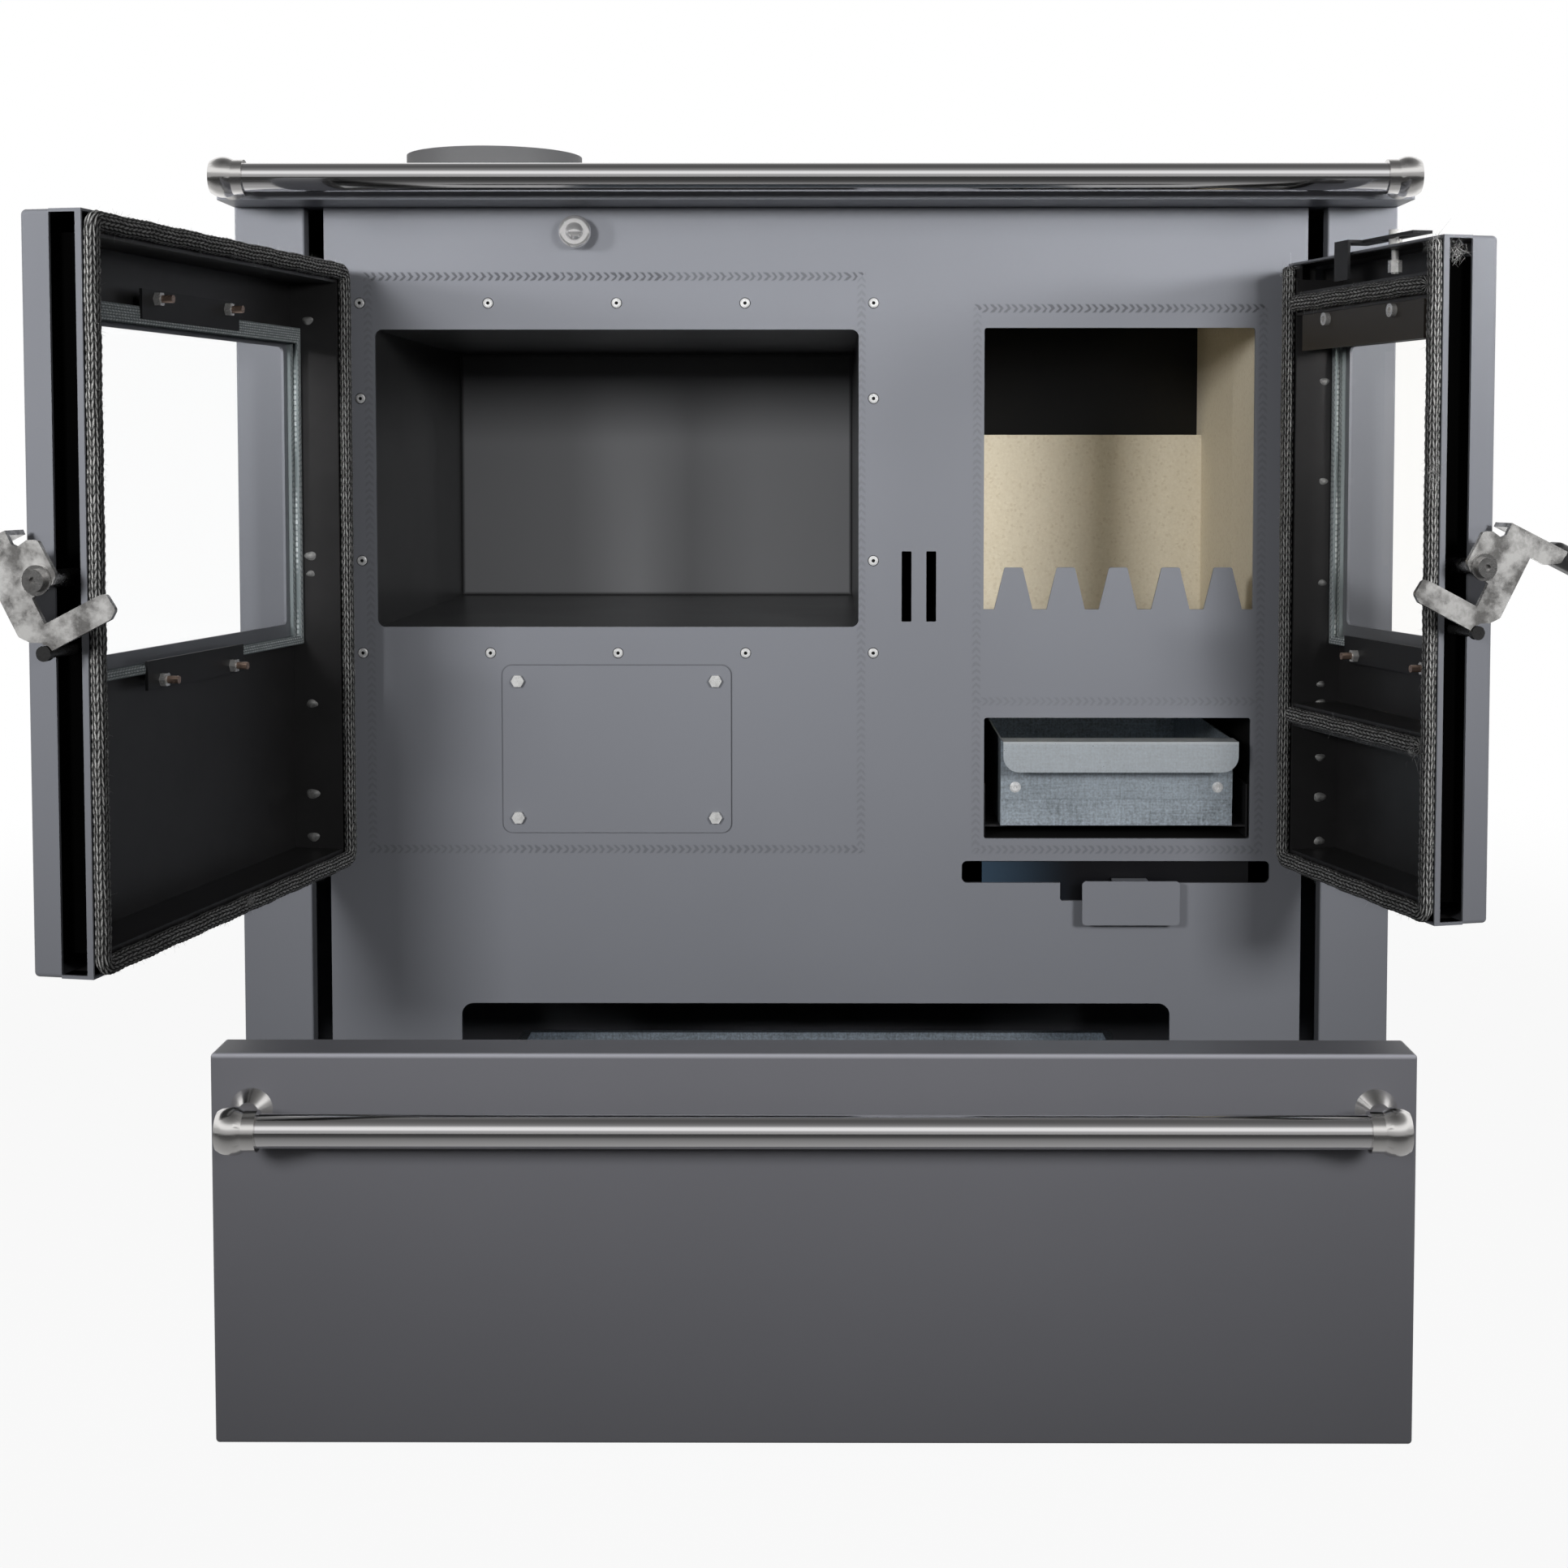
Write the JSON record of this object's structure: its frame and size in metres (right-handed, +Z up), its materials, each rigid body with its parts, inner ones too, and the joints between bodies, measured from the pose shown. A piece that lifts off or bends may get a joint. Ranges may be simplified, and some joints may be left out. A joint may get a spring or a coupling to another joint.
{
  "type": "wood cookstove",
  "caption": "Free-standing wood cookstove: glazed oven and fire doors swung open, fuel drawer pulled out, ash pan, cooking plate, flue collar on top and tubular front rails.",
  "frame": {"origin": "on the floor, at the centre of the body's footprint, on the underside of the plinth", "axes": "+X to the right seen from the front, +Y to the back, +Z up; the doors and the drawer face -Y"},
  "size_m": [1.1323, 0.967, 0.903],
  "materials": {
    "anthracite_paint": "satin",
    "black_steel": "matte",
    "cast_iron": "ground",
    "chrome": "polished",
    "zinc": "zinc plated",
    "aluminium": "bare",
    "galvanised": "spangled",
    "fire_brick": "rough",
    "rope": "braided",
    "tape": "braided",
    "glass": "clear",
    "grip": "satin"
  },
  "bodies": {
    "carcass": {"front_panel": "anthracite_paint", "left_side_panel": "anthracite_paint", "right_side_panel": "anthracite_paint", "back_panel": "anthracite_paint", "base": "anthracite_paint", "top_frame": "anthracite_paint", "cleanout_cover": "anthracite_paint", "inner_body": "black_steel", "oven_liner": "black_steel", "firebox_shell": "black_steel", "ash_box": "black_steel", "ash_guides": "black_steel", "drawer_runners": "black_steel", "air_slider_guides": "black_steel", "door_hinge_brackets": "black_steel", "flue_collar": "black_steel", "cooking_plate": "cast_iron", "hob_lid": "cast_iron", "grate": "cast_iron", "top_rail": "chrome", "top_rail_ends": "chrome", "cleanout_bolts": "zinc", "damper_guide": "zinc", "oven_rivets": "aluminium", "firebox_bricks": "fire_brick"},
    "oven_door": {"oven_door_skin": "anthracite_paint", "oven_door_frame": "black_steel", "oven_door_rope": "rope", "oven_door_glass": "glass", "oven_door_tape": "tape", "oven_door_clamps": "black_steel", "oven_door_studs": "zinc", "oven_door_hinge_barrels": "black_steel", "oven_latch_pins": "zinc"},
    "oven_latch": {"oven_latch_plate": "zinc", "oven_latch_grip": "grip"},
    "fire_door": {"fire_door_skin": "anthracite_paint", "fire_door_frame": "black_steel", "fire_door_rope": "rope", "fire_door_glass": "glass", "fire_door_tape": "tape", "fire_door_clamp": "black_steel", "fire_door_studs": "zinc", "fire_door_deflector": "black_steel", "fire_door_hinge_barrels": "black_steel", "fire_latch_pins": "zinc"},
    "fire_latch": {"fire_latch_plate": "zinc", "fire_latch_grip": "grip"},
    "fire_air_slide": {"fire_door_air_slide": "black_steel"},
    "drawer": {"drawer_front": "anthracite_paint", "drawer_box": "galvanised", "drawer_rail": "chrome", "drawer_rail_ends": "chrome"},
    "ash_pan": {"ash_pan": "galvanised", "ash_pan_lip": "galvanised", "ash_pan_rivets": "aluminium"},
    "air_slider": {"air_slider": "anthracite_paint"},
    "damper": {"damper_knob": "chrome", "damper_rod": "zinc"}
  },
  "joints": [
    {"name": "oven_door_hinge", "type": "hinge", "parent": "carcass", "child": "oven_door", "pos_m": [-0.35, -0.283, 0.557], "axis": [0, 0, -1], "range_deg": [-100.6, 4.4]},
    {"name": "fire_door_hinge", "type": "hinge", "parent": "carcass", "child": "fire_door", "pos_m": [0.35, -0.283, 0.557], "axis": [0, 0, 1], "range_deg": [-103.8, 1.2]},
    {"name": "oven_latch_pivot", "type": "hinge", "parent": "oven_door", "child": "oven_latch", "pos_m": [-0.43162, -0.69196, 0.568], "axis": [0.184, 0.9829, 0], "range_deg": [-35, 0]},
    {"name": "fire_latch_pivot", "type": "hinge", "parent": "fire_door", "child": "fire_latch", "pos_m": [0.41759, -0.53722, 0.568], "axis": [0.2385, -0.9711, 0], "range_deg": [-35, 0]},
    {"name": "fire_air_slide_run", "type": "slide", "parent": "fire_door", "child": "fire_air_slide", "axis": [0.2385, -0.9711, 0], "range_m": [-0.015, 0.015]},
    {"name": "drawer_slide", "type": "slide", "parent": "carcass", "child": "drawer", "axis": [0, -1, 0], "range_m": [-0.2856, 0.1]},
    {"name": "ash_pan_slide", "type": "slide", "parent": "carcass", "child": "ash_pan", "axis": [0, -1, 0], "range_m": [0, 0.3]},
    {"name": "air_slider_run", "type": "slide", "parent": "carcass", "child": "air_slider", "axis": [1, 0, 0], "range_m": [-0.037, 0.021]},
    {"name": "damper_pull", "type": "slide", "parent": "carcass", "child": "damper", "axis": [0, -1, 0], "range_m": [0, 0.05]}
  ]
}
